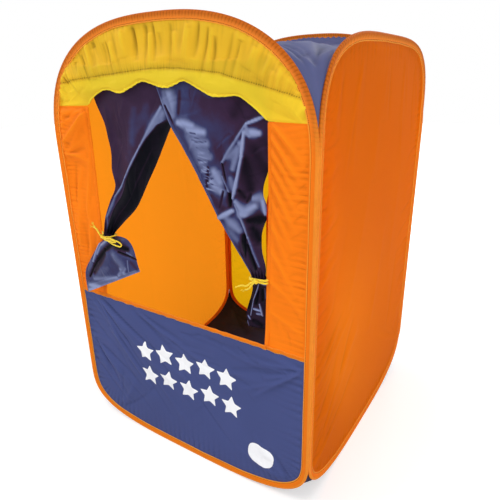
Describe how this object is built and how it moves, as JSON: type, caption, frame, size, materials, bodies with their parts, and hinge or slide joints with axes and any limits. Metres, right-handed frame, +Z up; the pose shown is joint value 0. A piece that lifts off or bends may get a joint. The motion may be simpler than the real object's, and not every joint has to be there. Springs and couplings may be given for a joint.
{
  "type": "puppet theater stand",
  "caption": "Pop-up fabric puppet theatre booth: sprung wire loops in cloth bindings, arched front with a curtained window, side walls, roof, floor and a rear doorway.",
  "frame": {"origin": "on the floor, at the middle of the footprint, on the underside of the floor cloth", "axes": "+Z up, +X to the right of someone who faces the front, the curtained front wall faces -Y"},
  "size_m": [0.72, 0.7579, 1.07],
  "materials": {
    "orange_cloth": "matte taffeta",
    "binding_tape": "matte woven tape",
    "yellow_cloth": "matte taffeta",
    "navy_cloth": "matte taffeta",
    "satin": "satin taffeta",
    "cord": "soft cord",
    "spring_steel": "bright drawn wire"
  },
  "bodies": {
    "front": {"front_wire": "spring_steel", "front_wire_ferrule": "spring_steel", "front_edge_binding": "binding_tape", "valance": "yellow_cloth", "valance_hem": "yellow_cloth", "left_front_strip": "orange_cloth", "right_front_strip": "orange_cloth", "left_window_hem": "orange_cloth", "right_window_hem": "orange_cloth", "lower_front_panel": "navy_cloth", "sill_tape": "binding_tape", "curtain_header": "satin", "left_curtain": "satin", "right_curtain": "satin", "left_tie": "cord", "left_tie_knot": "cord", "left_tie_anchor": "cord", "right_tie": "cord", "right_tie_knot": "cord", "right_tie_anchor": "cord", "roof": "navy_cloth", "floor": "navy_cloth"},
    "left_side": {"left_wire": "spring_steel", "left_wire_ferrule": "spring_steel", "left_edge_binding": "binding_tape", "left_side_panel": "orange_cloth"},
    "right_side": {"right_wire": "spring_steel", "right_wire_ferrule": "spring_steel", "right_edge_binding": "binding_tape", "right_side_panel": "orange_cloth"},
    "back": {"back_wire": "spring_steel", "back_wire_ferrule": "spring_steel", "back_edge_binding": "binding_tape", "back_panel": "yellow_cloth", "doorway_hem": "binding_tape"}
  },
  "joints": [
    {"name": "left_fold", "type": "hinge", "parent": "front", "child": "left_side", "pos_m": [-0.3561, -0.348, 0.45], "axis": [0, 0, 1], "range_deg": [-80, 80], "stiffness_Nm_per_rad": 1.5, "deforming": ["roof", "floor", "left_curtain", "right_curtain"]},
    {"name": "right_fold", "type": "hinge", "parent": "front", "child": "right_side", "pos_m": [0.3561, -0.348, 0.45], "axis": [0, 0, 1], "range_deg": [-80, 80]},
    {"name": "back_fold", "type": "hinge", "parent": "left_side", "child": "back", "pos_m": [-0.3561, 0.348, 0.45], "axis": [0, 0, 1], "range_deg": [-80, 80]}
  ],
  "couplings": [
    {"joint": "right_fold", "follows": "left_fold", "ratio": 1},
    {"joint": "back_fold", "follows": "left_fold", "ratio": -1}
  ]
}
